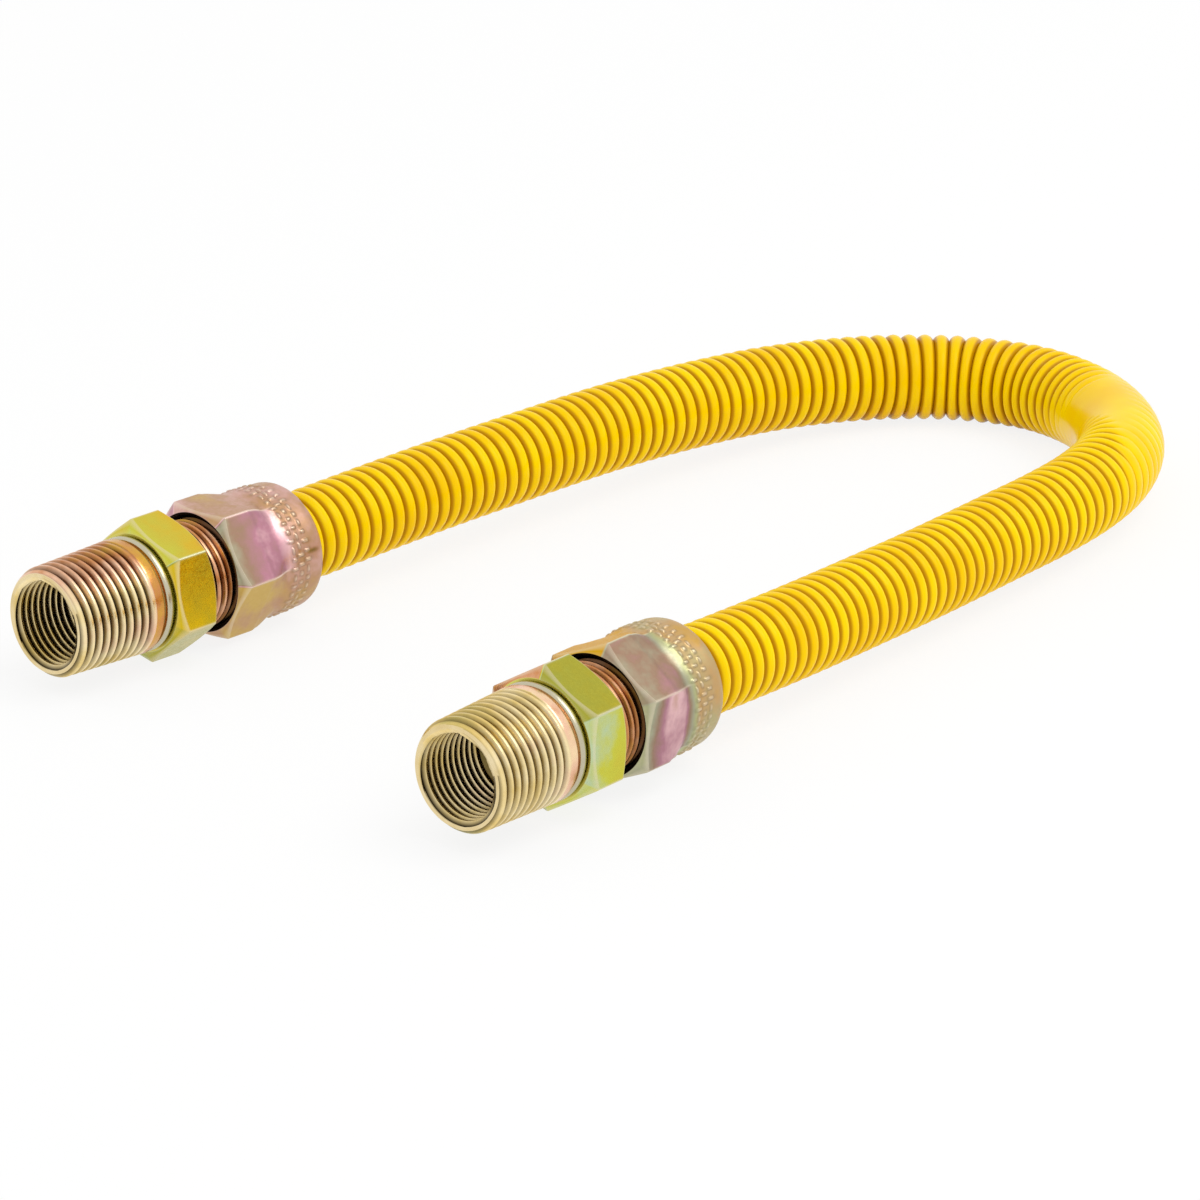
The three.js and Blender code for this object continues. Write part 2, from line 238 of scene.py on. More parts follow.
def corrugated_hose():
    """The hose as one closed mesh: its outside, its bore and the lip at each end."""
    angles = np.linspace(0, 2 * np.pi, HOSE_COLUMNS + 1)
    first_rib, ribbed = rib_stations()
    groove = rib_groove(ribbed, angles, first_rib)
    flare_end = FLARE_LAND + FLARE_RADIUS - NECK_TUBE_RADIUS
    near_end = np.array([0, FLARE_LAND, flare_end, first_rib - RIB_PITCH / 2])
    near_radius = np.array([FLARE_RADIUS, FLARE_RADIUS, NECK_TUBE_RADIUS, NECK_TUBE_RADIUS])
    plain = np.repeat(near_radius[:, None], len(angles), axis=1)
    outside = np.concatenate([near_end, ribbed, HOSE_LENGTH - near_end[::-1]])
    outside_radius = np.vstack([plain, HOSE_RADIUS - RIB_DEPTH * groove, plain[::-1]])
    outside_groove = np.vstack([0 * plain, groove, 0 * plain])
    lip = FLARE_LIP_RADIUS - HOSE_BORE_RADIUS
    middle = np.arange(lip + BORE_STEP, HOSE_LENGTH - lip - BORE_STEP, BORE_STEP)
    inside = np.concatenate([[0, lip], middle, [HOSE_LENGTH - lip, HOSE_LENGTH]])
    inside_radius = np.full(len(inside), HOSE_BORE_RADIUS)
    inside_radius[[0, -1]] = FLARE_LIP_RADIUS
    lip_radius = np.array([FLARE_LIP_RADIUS, FLARE_RADIUS])
    return skinned("corrugated_hose", [
        (hose_rings(outside, outside_radius, angles), {"groove": outside_groove}),
        (hose_rings(inside, inside_radius[:, None], angles), {"groove": 0}),
        (hose_rings(np.zeros(2), lip_radius[:, None], angles), {"groove": 0}),
        (hose_rings(np.full(2, HOSE_LENGTH), lip_radius[:, None], angles), {"groove": 0}),
    ])


def linear(colour):
    """An sRGB hex colour as the linear RGBA that a shader takes."""
    parts = [int(colour[i:i + 2], 16) / 255 for i in (1, 3, 5)]
    return (*[c / 12.92 if c <= 0.04045 else ((c + 0.055) / 1.055) ** 2.4 for c in parts], 1)


def add_node(material, kind, settings=None, **inputs):
    """Adds a shader node. settings are its properties. Each input is a value, or a socket to link,
    under its socket's name, or under i and its number where names repeat."""
    made = material.node_tree.nodes.new(kind)
    for key, value in (settings or {}).items():
        setattr(made, key, value)
    for key, value in inputs.items():
        numbered = key[0] == "i" and key[1:].isdigit()
        socket = made.inputs[int(key[1:]) if numbered else key.replace("_", " ")]
        if isinstance(value, bpy.types.NodeSocket):
            material.node_tree.links.new(value, socket)
        else:
            socket.default_value = value
    return made


hose = corrugated_hose()

# Bonded polymer coating over steel: smooth, glossy and evenly coloured. Its deeper amber grooves
# are partly the thicker yellow there and partly painted shade, for the light that reaches them only
# off their own walls. The yellow drifts a little over 12 mm, and the skin's fine waves are drawn
# 0.9 mm long so that they show.
coating = bpy.data.materials.new("yellow_polymer_coating")
coating.use_nodes = True
shader = coating.node_tree.nodes["Principled BSDF"]
shader.inputs["Roughness"].default_value = 0.2
shader.inputs["IOR"].default_value = 1.5
shader.inputs["Specular IOR Level"].default_value = 0.08
place = add_node(coating, "ShaderNodeTexCoord").outputs["Object"]
cloud = add_node(coating, "ShaderNodeTexNoise", Vector=place, Scale=1 / (12 * MM), Detail=2)
crest_colour = add_node(coating, "ShaderNodeValToRGB", Fac=cloud.outputs["Fac"])
for stop, position, yellow in zip(crest_colour.color_ramp.elements, (0.35, 0.65), COATING_YELLOWS):
    stop.position = position
    stop.color = linear(yellow)
depth = add_node(coating, "ShaderNodeAttribute", {"attribute_name": "groove"})
shaded = add_node(coating, "ShaderNodeMapRange", {"interpolation_type": "SMOOTHSTEP"},
                  Value=depth.outputs["Fac"], From_Min=0.14, From_Max=0.5)
grooved = add_node(coating, "ShaderNodeMix", {"data_type": "RGBA"}, i0=shaded.outputs["Result"],
                   i6=crest_colour.outputs["Color"], i7=linear(COATING_SHADED_IN_GROOVES))
coating.node_tree.links.new(grooved.outputs[2], shader.inputs["Base Color"])
peel = add_node(coating, "ShaderNodeTexNoise", Vector=place, Scale=1 / (0.9 * MM), Detail=1)
skin = add_node(coating, "ShaderNodeBump", Height=peel.outputs["Fac"], Strength=0.25,
                Distance=0.03 * MM)
coating.node_tree.links.new(skin.outputs["Normal"], shader.inputs["Normal"])
hose.data.materials.append(coating)

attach(hose, "hose_body")
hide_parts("hose")

# Flare nuts: forged steel, hexagonal in front and round behind, slid over the hose before its end
# was flared. Zinc plate with a thin chromate film, whose thickness gives each face its own tint.
# Each face's tint also holds painted reflection and shade, for what that face reflects and how it is
# lit.
# Stations run along a fitting's axis: an adapter's from its mouth, a nut's from its own rim.
ENDS = ("front", "back")
HOSE_STATION = 46.0 * MM
HEX_APOTHEM = 11.9 * MM
HEX_EDGE_RADIUS = 0.5 * MM
HEX_FACE_RADIUS = 11.3 * MM
HEX_CHAMFER = math.tan(math.radians(30))
NUT_STATION = 37.0 * MM
NUT_LENGTH = 22.0 * MM
NUT_HEX_LENGTH = 8.7 * MM
NUT_RUNOUT = 3.7 * MM
NUT_RIM = 0.073 * MM
NUT_MOUTH_RADIUS = 11.5 * MM
NUT_CAVITY_RADIUS = 10.6 * MM
NUT_SEAT = 9.1 * MM
NUT_THROAT_RADIUS = 8.9 * MM
WAIST_RADIUS = 11.7 * MM
COLLAR_RADIUS = 12.1 * MM
COLLAR_RISE = 1.1 * MM
COLLAR_ROUNDING = 2.0 * MM
# The collar's form goes on under the hexagon by this length, and drops by this much there
COLLAR_ROOT_LENGTH = 2.0 * MM
COLLAR_ROOT_DROP = 0.8 * MM
BLANK_RADIUS = 13.86 * MM
# Size of the forged rounds, and where those of the corners and of the collar grow to it
FORGED_ROUND = 0.9 * MM
FLATS_END = 7.0 * MM
CORNER_ROUND_FADE = 1.0 * MM
FILLET_START = 9.4 * MM
FILLET_FADE = 3.0 * MM
EDGE = 0.12 * MM
# Rows of points along the nut: over the run-out, closer over the marks, and behind them
FORGED_ROWS = np.arange(7.3, 13.3, 0.3) * MM
MARKED_ROWS = np.arange(13.3, 18.4, 0.15) * MM
PLAIN_ROW = 19.0 * MM
COLLAR_END_ROWS = 8
NUT_COLUMN_STEP = 0.8
# Columns over a hexagon's edge and the first one on its flat, in degrees from its corner
EDGE_COLUMNS = (0, 0.35, 0.7, 1.05, 1.6)
FIRST_FLAT_COLUMN = 2.6
# Degrees that each nut's first corner stands at, from the fitting's left side over its top
NUT_TURNS = {"front": 37, "back": 59}
# Film thickness, 0 to 1, at the front, middle and back of each face, from the first corner on.
# The values also hold painted reflection and shade: each face's tint stands for what it reflects
# and how it is lit, as well as for its film.
NUT_FACE_FILMS_AND_REFLECTIONS = {
    "front": [(1.03, 1.08, 1.0), (0.54, 0.47, 0.52), (0.7, 0.27, 0.3), (0.68, 0.6, 0.62),
              (0.5, 0.5, 0.5), (0.8, 0.7, 0.7)],
    "back": [(0.14, 0.1, 0.15), (0.64, 0.39, 0.36), (0.06, 0.0, 0.06), (0.1, 0.05, 0.1),
             (0.4, 0.5, 0.5), (0.3, 0.2, 0.2)],
}
# Each face's film blends into the next one's over this share of the face
FILM_BLEND = 0.02
# Film on the top and on the underside of each collar, and the angle that the top's centres on.
# Top and underside differ as painted light, for how the light falls on each.
COLLAR_FILMS_LIT_AND_SHADED = {"front": (0.87, 0.84), "back": (0.13, 0.08)}
COLLAR_TOP = math.radians(100)
# The nut's inside: its film, and how dark it is painted as painted shade
NUT_INSIDE_FILM = 0.5
NUT_INSIDE_SHADE = 0.92
# The film's colours on the nuts as it thickens
NUT_TINTS = [
    (0.0, "#CBAA5A"), (0.12, "#BE9472"), (0.26, "#E8BCBE"), (0.38, "#B5808E"), (0.5, "#9E806A"),
    (0.62, "#A9A78C"), (0.74, "#B7B887"), (0.88, "#C8A472"), (1.0, "#D6A418"),
]
# Pale zinc for wear and for painted highlights on edges, marks and the bead
WEAR_AND_HIGHLIGHT_ZINC = "#EFE2C8"
# Dark colour for painted shade inside the nut and round its marks, and for the stain on its collar
NUT_SHADE_AND_STAIN_COLOUR = "#3A2C18"
# How pale each row of a chamfer is, from wear and a painted highlight, from the end face on. The
# first four lie before its edge.
CHAMFER_WEAR_AND_HIGHLIGHT = (0.2, 0.1, 0.0, 0.35, 0.35, 0.0)
ROWS_BEFORE_EDGE = 4
# Wear and a painted highlight along the hexagon's corners, and how wide they spread
CORNER_WEAR_AND_HIGHLIGHT = 0.6
CORNER_WEAR_AND_HIGHLIGHT_WIDTH = math.radians(0.9)
# Raised marks round the collar: half their width round it and half their width along it
MARKS = np.array([(0.3, 0.7), (0.55, 0.3), (0.28, 0.55), (0.42, 0.42), (0.3, 0.7), (0.6, 0.28),
                  (0.32, 0.45)]) * MM
MARK_ROWS = (13.9 * MM, 15.5 * MM, 17.2 * MM)
MARKS_ROUND = 43
MARK_HEIGHT = 0.27 * MM
MARK_FLATNESS = 4
# The raised marks are paler: wear, and a painted highlight on them
MARK_WEAR_AND_HIGHLIGHT = 0.4
# Painted shade round the marks: how dark, and how far it spreads in shares of their size
MARK_SHADE = 0.4
MARK_SHADE_SPREAD = 1.5
# A brown stain along the back nut's collar
STAINED_END = "back"
STAIN_ANGLE = math.radians(168)
STAIN_START = 16.9 * MM
STAIN_END = 20.2 * MM
STAIN_FADE = 1.0 * MM
STAIN_HALF_WIDTH = 0.35 * MM
STAIN_DARKNESS = 0.6


def fitting_place(end):
    """Matrix from a fitting's own frame, x along its axis from the adapter's mouth, to the row's."""
    tip, inner = (ROUTE[0], ROUTE[1]) if end == "front" else (ROUTE[-1], ROUTE[-2])
    heading = math.atan2(inner[1] - tip[1], inner[0] - tip[0])
    return (Matrix.Translation(tip) @ Matrix.Rotation(heading, 4, "Z")
            @ Matrix.Translation((-HOSE_STATION, 0, 0)))


def fitting_surface(end, stations, radii, angles, film, groove=0.0, wear_and_highlight=0.0):
    """A grid of points round a fitting's axis with its plating's values. Columns follow angles."""
    stations, radii = np.broadcast_arrays(stations, radii, np.empty((1, len(angles))))[:2]
    own = np.stack([stations, radii * np.cos(angles), radii * np.sin(angles)], axis=-1)
    place = np.array(fitting_place(end))
    return own @ place[:3, :3].T + place[:3, 3], {"film": film, "groove": groove, "wear_and_highlight": wear_and_highlight}


def hex_columns(turn, step):
    """Angles once round a fitting from its first corner, with more of them on the rounded edges."""
    last_flat = 60 - FIRST_FLAT_COLUMN
    flat = np.linspace(FIRST_FLAT_COLUMN, last_flat, round((last_flat - FIRST_FLAT_COLUMN) / step) + 1)
    side = [*EDGE_COLUMNS, *flat, *[60 - column for column in EDGE_COLUMNS[:0:-1]]]
    return np.radians(turn + np.array([60 * i + column for i in range(6) for column in side] + [360]))


def from_corner(angles, turn):
    """Angle of each column from the nearest corner of a hexagon, in radians."""
    return (angles - math.radians(turn) + math.pi / 6) % (math.pi / 3) - math.pi / 6


def hex_radius(angles, turn):
    """Radius of a hexagon with rounded corners, the first of them at turn degrees."""
    off = from_corner(angles, turn)
    flat = HEX_APOTHEM / np.cos(math.pi / 6 - np.abs(off))
    centre = (HEX_APOTHEM - HEX_EDGE_RADIUS) / math.cos(math.pi / 6)
    inside = np.maximum(HEX_EDGE_RADIUS**2 - (centre * np.sin(off)) ** 2, 0)
    meets = math.atan2(HEX_EDGE_RADIUS / 2, centre + HEX_EDGE_RADIUS * math.cos(math.pi / 6))
    return np.where(np.abs(off) < meets, centre * np.cos(off) + np.sqrt(inside), flat)


def chamfer_rows(corner):
    """Rows from a hexagon's end face over its chamfer: stations, radii and each row's wear and painted
    highlight.
    """
    reach = (corner - HEX_FACE_RADIUS) * HEX_CHAMFER
    stations = np.array([0 * reach, 0 * reach + EDGE / 4, (reach - EDGE) / 2, reach - EDGE,
                         reach + EDGE, reach + 3 * EDGE])
    sloping = HEX_FACE_RADIUS + stations[:ROWS_BEFORE_EDGE] / HEX_CHAMFER
    return stations, np.array([*sloping, corner, corner]), np.array(CHAMFER_WEAR_AND_HIGHLIGHT)[:, None]


def face_films(films, angles, turn, along):
    """Film on a hexagon's grid. along is each point's place on its face, 0 in front, 1 behind."""
    edges = [i + side for i in range(6) for side in (FILM_BLEND, 1 - FILM_BLEND)]
    face = (np.degrees(angles) - turn) / 60
    front, middle, back = [np.interp(face, edges, np.repeat(level, 2), period=6)
                           for level in zip(*films)]
    near, far = np.clip(2 * along, 0, 1), np.clip(2 * along - 1, 0, 1)
    return front + (middle - front) * near + (back - middle) * far


def corner_wear_and_highlight(angles, turn):
    """Wear and painted highlight on a hexagon at each column: most on its corners."""
    return CORNER_WEAR_AND_HIGHLIGHT * np.exp(-(from_corner(angles, turn) / CORNER_WEAR_AND_HIGHLIGHT_WIDTH) ** 2)[None]


def soft_min(a, b, size):
    """The smaller of two radii, with a round of about the given size where they meet."""
    return (a + b - np.sqrt((a - b) ** 2 + size**2)) / 2


def eased(profile, ease=EDGE):
    """A [station, radius] profile with its inner corners cut, and a short step at each end. A cut
    takes less than half of a stretch, so that the two on a stretch don't meet."""
    points = np.array(profile, float)
    made = [points[0]]
    for before, corner, after in zip(points, points[1:], points[2:]):
        lead, tail = before - corner, after - corner
        lead *= min(ease / np.linalg.norm(lead), 0.45)
        tail *= min(ease / np.linalg.norm(tail), 0.45)
        made += [corner + lead, corner + (lead + tail) / 4, corner + tail]
    made = [*made, points[-1]]
    first, last = [here + (there - here) * min(0.4, ease / np.linalg.norm(there - here))
                   for here, there in (made[:2], made[:-3:-1])]
    return np.array([made[0], first, *made[1:-1], last, made[-1]])


def turned(end, profile, angles, film, groove=0.0, wear_and_highlight=0.0):
    """A turned stretch of a fitting."""
    points = eased(profile)
    return fitting_surface(end, points[:, :1], points[:, 1:], angles, film, groove, wear_and_highlight)


def raised_marks(stations, angles, spread=1.0):
    """Height of the plain marks forged round the collar, 0 to 1, on a grid of points."""
    height = np.zeros((len(stations), len(angles)))
    for row, station in enumerate(MARK_ROWS):
        place = angles / (2 * math.pi) * MARKS_ROUND + row / len(MARK_ROWS)
        round_it = (place % 1 - 0.5) * 2 * math.pi * COLLAR_RADIUS / MARKS_ROUND
        sizes = MARKS[(np.floor(place) * (2 * row + 1)).astype(int) % len(MARKS)] * spread
        along = stations[:, None] - station
        away = (round_it / sizes[:, 0]) ** MARK_FLATNESS + (along / sizes[:, 1]) ** MARK_FLATNESS
        height = np.maximum(height, np.exp(-away))
    return height


def forged_form(corner):
    """Stations and radii of the rows behind the hexagon's flats, without the raised marks: the
    hexagon, cut to the blank's taper, runs out into the round collar."""
    arc = np.linspace(0, math.pi / 2, COLLAR_END_ROWS)
    rows = np.concatenate([FORGED_ROWS, MARKED_ROWS, [PLAIN_ROW],
                           NUT_LENGTH - COLLAR_ROUNDING * (1 - np.sin(arc))])
    rounding = np.concatenate([np.zeros(len(rows) - len(arc)), COLLAR_ROUNDING * (1 - np.cos(arc))])
    collar_start = NUT_HEX_LENGTH + NUT_RUNOUT
    blank = BLANK_RADIUS - (rows - NUT_HEX_LENGTH) * (BLANK_RADIUS - WAIST_RADIUS) / NUT_RUNOUT
    collar = np.interp(
        rows, [collar_start - COLLAR_ROOT_LENGTH, collar_start, collar_start + COLLAR_RISE],
        [WAIST_RADIUS - COLLAR_ROOT_DROP, WAIST_RADIUS, COLLAR_RADIUS])
    corner_round = FORGED_ROUND * share_past(rows, FLATS_END, CORNER_ROUND_FADE)
    fillet = FORGED_ROUND * share_past(rows, FILLET_START, FILLET_FADE) * (rounding == 0)
    hexagon = soft_min(corner[None], blank[:, None], corner_round[:, None])
    return rows, -soft_min(-hexagon, -(collar - rounding)[:, None], fillet[:, None])


def nut_outside(end, angles):
    """The nut's outside from its rim over the hexagon, the forged run-out and the round collar."""
    turn = NUT_TURNS[end]
    corner = hex_radius(angles, turn)
    stations, radii, wear_and_highlight = chamfer_rows(corner)
    stations[:2] = NUT_RIM + np.array([[0], [EDGE / 4]])
    radii[:2] = HEX_FACE_RADIUS + stations[:2] / HEX_CHAMFER
    flats = [stations[-1] + (FLATS_END - stations[-1]) * share for share in (0.25, 0.5, 0.75, 1)]
    rows, form = forged_form(corner)
    marks = raised_marks(rows, angles)
    no_marks = np.zeros((len(stations) + len(flats), len(angles)))
    stations = np.vstack([stations, flats, np.broadcast_to(rows[:, None], form.shape)])
    radii = np.vstack([radii, [corner] * len(flats), form + MARK_HEIGHT * marks])

    top, under = COLLAR_FILMS_LIT_AND_SHADED[end]
    on_collar = share_past(stations, NUT_HEX_LENGTH + NUT_RUNOUT / 2, NUT_RUNOUT)
    collar_film_and_light = top + (under - top) * (0.5 - 0.5 * np.cos(angles - COLLAR_TOP))
    face_film_and_light = face_films(NUT_FACE_FILMS_AND_REFLECTIONS[end], angles, turn, stations / (NUT_HEX_LENGTH + NUT_RUNOUT))
    film = face_film_and_light + (collar_film_and_light - face_film_and_light) * on_collar

    # Painted shade round the raised marks, which the stain joins below
    around = np.vstack([no_marks, raised_marks(rows, angles, MARK_SHADE_SPREAD)])
    marks = np.vstack([no_marks, marks])
    shade_and_stain = MARK_SHADE * around * (1 - marks)
    wear_and_highlight = np.vstack([wear_and_highlight, np.zeros((len(radii) - len(wear_and_highlight), 1))])
    past_edge = (np.arange(len(radii)) >= ROWS_BEFORE_EDGE)[:, None]
    wear_and_highlight = np.maximum(wear_and_highlight, corner_wear_and_highlight(angles, turn) * (1 - on_collar) * past_edge)
    if end == STAINED_END:
        across = (angles - STAIN_ANGLE) * COLLAR_RADIUS / STAIN_HALF_WIDTH
        along = (share_past(stations, STAIN_START, STAIN_FADE)
                 * (1 - share_past(stations, STAIN_END - STAIN_FADE, STAIN_FADE)))
        stain = np.exp(-across**2) * along
        film = film * (1 - stain)
        shade_and_stain = np.maximum(shade_and_stain, STAIN_DARKNESS * stain)
    return fitting_surface(end, NUT_STATION + stations, radii, angles, film, shade_and_stain,
                           np.maximum(wear_and_highlight, MARK_WEAR_AND_HIGHLIGHT * marks))


def flare_nut(end):
    """A flare nut as one closed mesh."""
    angles = hex_columns(NUT_TURNS[end], NUT_COLUMN_STEP)
    inside = turned(end, [(NUT_STATION + station, radius) for station, radius in (
        (NUT_LENGTH, COLLAR_RADIUS - COLLAR_ROUNDING),
        (NUT_LENGTH, NUT_THROAT_RADIUS),
        (NUT_SEAT + NUT_CAVITY_RADIUS - NUT_THROAT_RADIUS, NUT_THROAT_RADIUS),
        (NUT_SEAT, NUT_CAVITY_RADIUS),
        (NUT_MOUTH_RADIUS - NUT_CAVITY_RADIUS, NUT_CAVITY_RADIUS),
        (NUT_RIM, HEX_FACE_RADIUS + NUT_RIM / HEX_CHAMFER))], angles, NUT_INSIDE_FILM, NUT_INSIDE_SHADE)
    return skinned(f"flare_nut_{end}_visual", [nut_outside(end, angles), inside], sharp_angle=35)


def plating(name, tints, darkening, roughness, patch, swing):
    """Chromated zinc on steel: a metal whose colour follows the film's thickness, which drifts by
    the swing in patches over each face. Edges and marks are paler, from wear and painted highlights,
    and what is deep is darkened by painted shade, with oil in the adapters' threads and a stain on one
    nut. The finish's grit is finer than a pixel, so it is drawn 0.6 mm wide."""
    material = bpy.data.materials.new(name)
    material.use_nodes = True
    shader = material.node_tree.nodes["Principled BSDF"]
    shader.inputs["Metallic"].default_value = 1
    place = add_node(material, "ShaderNodeTexCoord").outputs["Object"]
    film = add_node(material, "ShaderNodeAttribute", {"attribute_name": "film"})
    patches = add_node(material, "ShaderNodeTexNoise", Vector=place, Scale=1 / patch, Detail=4,
                       Roughness=0.6)
    drift = add_node(material, "ShaderNodeMapRange", Value=patches.outputs["Fac"],
                     From_Min=0.3, From_Max=0.7, To_Min=-swing, To_Max=swing)
    thickness = add_node(material, "ShaderNodeMath", {"operation": "ADD"}, i0=film.outputs["Fac"],
                         i1=drift.outputs["Result"])
    tint = add_node(material, "ShaderNodeValToRGB", Fac=thickness.outputs["Value"])
    stops = tint.color_ramp.elements
    for position, _ in tints[1:-1]:
        stops.new(position)
    for stop, (_, colour) in zip(stops, tints):
        stop.color = linear(colour)
    # Paler for wear and painted highlights; darker for painted shade, oil and the stain
    wear_and_highlight = add_node(material, "ShaderNodeAttribute", {"attribute_name": "wear_and_highlight"})
    colour = add_node(material, "ShaderNodeMix", {"data_type": "RGBA"}, i0=wear_and_highlight.outputs["Fac"],
                      i6=tint.outputs["Color"], i7=linear(WEAR_AND_HIGHLIGHT_ZINC))
    deep = add_node(material, "ShaderNodeAttribute", {"attribute_name": "groove"})
    colour = add_node(material, "ShaderNodeMix", {"data_type": "RGBA"}, i0=deep.outputs["Fac"],
                      i6=colour.outputs[2], i7=linear(darkening))
    material.node_tree.links.new(colour.outputs[2], shader.inputs["Base Color"])
    grit = add_node(material, "ShaderNodeTexNoise", Vector=place, Scale=1 / (0.6 * MM), Detail=3)
    dull = add_node(material, "ShaderNodeMapRange", Value=grit.outputs["Fac"],
                    From_Min=0.3, From_Max=0.7, To_Min=roughness - 0.06, To_Max=roughness + 0.08)
    material.node_tree.links.new(dull.outputs["Result"], shader.inputs["Roughness"])
    skin = add_node(material, "ShaderNodeBump", Height=grit.outputs["Fac"], Strength=0.25,
                    Distance=0.01 * MM)
    material.node_tree.links.new(skin.outputs["Normal"], shader.inputs["Normal"])
    return material


# Forged skin under a thin film: satin, pale mauve, pink, grey-green and tan.
nut_zinc = plating("clear_chromated_zinc_on_forged_steel", NUT_TINTS, NUT_SHADE_AND_STAIN_COLOUR,
                   roughness=0.36, patch=9 * MM, swing=0.09)
for end in ENDS:
    nut = flare_nut(end)
    nut.data.materials.append(nut_zinc)
    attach(nut, f"{end}_nut_body")
    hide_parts(f"flare_nut_{end}")

# Adapters: turned from hexagonal steel bar. In front a tapered male pipe thread outside and a
# tapped bore inside, behind the hexagon a straight flare thread and a cone that the hose's
# flare seats on. Plated like the nuts, with a thicker yellow chromate film.
PIPE_THREAD_PITCH = 25.4 / 14 * MM
PIPE_THREAD_DEPTH = 1.1 * MM
PIPE_THREAD_LENGTH = 19.3 * MM
PIPE_THREAD_RUNOUT = 1.7 * MM
PIPE_CREST_RADIUS = 10.35 * MM
PIPE_TAPER = 1 / 32
MOUTH_RADIUS = 9.5 * MM
MOUTH_CHAMFER = 1.1 * MM
BORE_PITCH = 25.4 / 18 * MM
BORE_THREAD_DEPTH = 0.85 * MM
BORE_CREST_RADIUS = 7.95 * MM
BORE_EDGE_RADIUS = 8.85 * MM
COUNTERSINK_SLOPE = 3
BORE_THREAD_END = 14.5 * MM
DRILL_CONE = 1.0 * MM
THROUGH_BORE_RADIUS = 6.2 * MM
NECK_RADIUS = 10.0 * MM
BEAD_STATION = 20.3 * MM
BEAD_WIDTH = 1.6 * MM
BEAD_RADIUS = 10.95 * MM
BEAD_ROWS = 13
ADAPTER_HEX_STATION = 22.2 * MM
ADAPTER_HEX_LENGTH = 9.4 * MM
HEX_ROOT_RADIUS = NECK_RADIUS + 0.4 * MM
RELIEF_RADIUS = 9.4 * MM
FLARE_THREAD_STATION = 33.0 * MM
FLARE_THREAD_PITCH = 25.4 / 16 * MM
FLARE_THREAD_DEPTH = 0.9 * MM
FLARE_CREST_RADIUS = 10.3 * MM
CONE_STATION = 45.7 * MM
CONE_BASE_RADIUS = 9.0 * MM
CONE_NOSE_RADIUS = 7.0 * MM
ADAPTER_COLUMN_STEP = 2.0
# A thread with its crests cut flat and its roots rounded: share of a pitch, share of the depth
THREAD_FORM = [(0, 0), (0.13, 0.02), (0.19, 0.14), (0.37, 0.84), (0.43, 0.97), (0.5, 1),
               (0.57, 0.97), (0.63, 0.84), (0.81, 0.14), (0.87, 0.02)]
# The lengths in which each thread deepens from its start and fades to its end
PIPE_THREAD_FADES = (0.01 * MM, 1.6 * MM)
BORE_THREAD_FADES = (0.01 * MM, 1.5 * MM)
FLARE_THREAD_FADES = (0.6 * MM, 0.8 * MM)
ADAPTER_TURNS = {"front": 29, "back": 20}
# Film thickness, 0 to 1, at the front, middle and back of each face, from the first corner on. The
# values also hold painted reflection and shade: each face's tint stands for what it reflects and how
# it is lit, as well as for its film.
ADAPTER_FACE_FILMS_AND_REFLECTIONS = {
    "front": [(0.28, 0.3, 0.32), (0.8, 0.9, 0.88), (0.65, 0.585, 0.54), (0.58, 0.58, 0.56),
              (0.9, 0.85, 0.8), (0.26, 0.3, 0.4)],
    "back": [(0.5, 0.44, 0.42), (0.55, 0.47, 0.42), (0.97, 1.0, 0.95), (0.9, 0.86, 0.9),
             (0.8, 0.7, 0.6), (0.46, 0.44, 0.4)],
}
# Film on the sides, the top and the underside of each pipe thread and on its neck. The top's and
# the underside's values also hold painted reflection and shade, for how the light falls on them.
# It changes from side to top with this power of the height, and grows by the rise with the same
# power of the distance from the mouth.
THREAD_FILMS_AND_LIGHT = {"front": (0.14, 0.06, 0.0, 0.23), "back": (0.15, 0.29, 0.05, 0.34)}
THREAD_FILM_POWER = 3
THREAD_FILM_RISE = 0.07
# Oil and painted shade in the threads' roots, and how far they reach up their flanks: the lower,
# the farther
THREAD_OIL_AND_SHADE = {"front": 0.87, "back": 0.95}
BORE_OIL_AND_SHADE = 0.97
OIL_AND_SHADE_REACH = 0.5
FLARE_OIL_AND_SHADE = 0.9
FLARE_OIL_AND_SHADE_REACH = 0.6
# The flare thread is oily and in painted shade all over inside the nut, from just outside the
# nut's rim on
IN_NUT_STATION = NUT_STATION - 0.6 * MM
IN_NUT_FADE = 0.5 * MM
IN_NUT_OIL_AND_SHADE = 0.85
BORE_FILM = 0.13
FLARE_FILM = 0.32
# Film, darkening and paling of the turned stretches. The darkening is painted shade, deepest in the
# relief behind the hexagon and on the cone inside the nut; the paling is wear and painted highlight,
# most on the bead.
MOUTH_FILM_SHADE_AND_HIGHLIGHT = (0.12, 0.1, 0.3)
BEAD_FILM_SHADE_AND_HIGHLIGHT = (0.66, 0.3, 0.8)
BEAD_GROOVE_FILM_AND_SHADE = (0.58, 0.1, 0.0)
HEX_FACE_FILM_AND_HIGHLIGHT = (0.52, 0.0, 0.15)
RELIEF_FILM_AND_SHADE = (0.32, 0.8, 0.0)
CONE_FILM_AND_SHADE = (0.06, 0.8, 0.0)
# The film's colours on the adapters as it thickens
ADAPTER_TINTS = [
    (0.0, "#BDB168"), (0.08, "#EBCC7C"), (0.16, "#FFEAB6"), (0.24, "#F3C6A6"), (0.32, "#D08C58"),
    (0.42, "#DDB62E"), (0.5, "#CFC040"), (0.58, "#CBCB46"), (0.66, "#BCCFA4"), (0.76, "#A2A642"),
    (0.88, "#B0A634"), (1.0, "#DCBB1C"),
]
# Near black for oil and painted shade in the adapters' roots and recesses
ADAPTER_OIL_AND_SHADE_COLOUR = "#1E1206"


